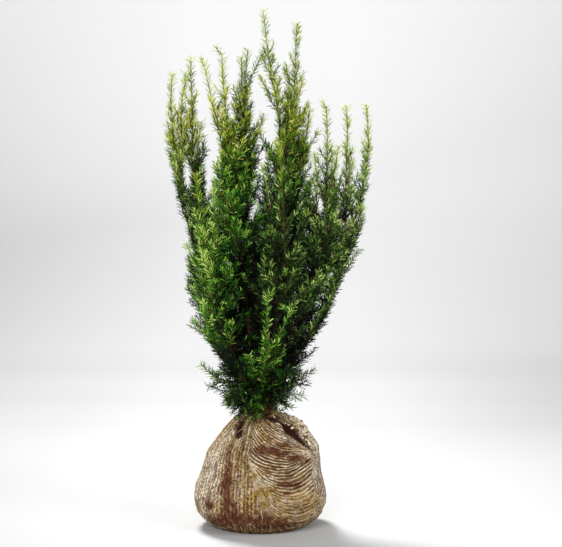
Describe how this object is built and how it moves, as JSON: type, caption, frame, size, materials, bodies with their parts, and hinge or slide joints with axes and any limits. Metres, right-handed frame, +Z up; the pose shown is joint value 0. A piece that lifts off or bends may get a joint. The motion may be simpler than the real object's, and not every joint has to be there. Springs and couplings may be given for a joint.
{
  "type": "sapling with root ball",
  "caption": "Young upright conifer shrub with many tapering shoots of short flat needles, its soil ball wrapped in coarse jute sacking.",
  "frame": {"origin": "centre of the flat underside of the root ball, on the ground it stands on", "axes": "+Z up along the trunk, +X to the plant's right seen from its front, -Y to its front"},
  "size_m": [0.4414, 0.2917, 1.077],
  "materials": {
    "sacking": "coarse undyed jute sacking, open weave, stained by damp soil",
    "loose_sacking": "clean straw-coloured jute sacking, gathered and rolled, frayed at its edge",
    "bark": "thin reddish brown bark that scales off in strips",
    "young_bark": "smooth orange-brown to olive bark of young shoots",
    "old_needles": "deep green flat needles, waxy on top",
    "needles": "mid green flat needles, waxy on top",
    "new_needles": "soft yellow-green needles of this year's growth"
  },
  "bodies": {
    "root": {"bough_back_left": "young_bark", "bough_back_low": "young_bark", "bough_back_right": "young_bark", "bough_centre_front": "young_bark", "bough_centre_left": "young_bark", "bough_centre_left_front": "young_bark", "bough_left_back": "young_bark", "bough_left_front": "young_bark", "bough_left_outer": "young_bark", "bough_right_back": "young_bark", "bough_right_inner": "young_bark", "bough_right_outer": "young_bark", "bough_top_centre": "young_bark", "bough_top_right": "young_bark", "foliage_back_left": "old_needles", "foliage_back_low": "old_needles", "foliage_back_right": "old_needles", "foliage_centre_front": "needles", "foliage_centre_left": "needles", "foliage_centre_left_front": "new_needles", "foliage_heart": "old_needles", "foliage_left_back": "old_needles", "foliage_left_front": "new_needles", "foliage_left_outer": "needles", "foliage_low_back": "old_needles", "foliage_low_front": "new_needles", "foliage_low_left": "old_needles", "foliage_low_right": "old_needles", "foliage_right_back": "old_needles", "foliage_right_inner": "needles", "foliage_right_outer": "needles", "foliage_top_centre": "new_needles", "foliage_top_right": "new_needles", "root_ball": "sacking", "sacking_collar": "loose_sacking", "sacking_fold": "loose_sacking", "trunk": "bark"}
  },
  "joints": []
}
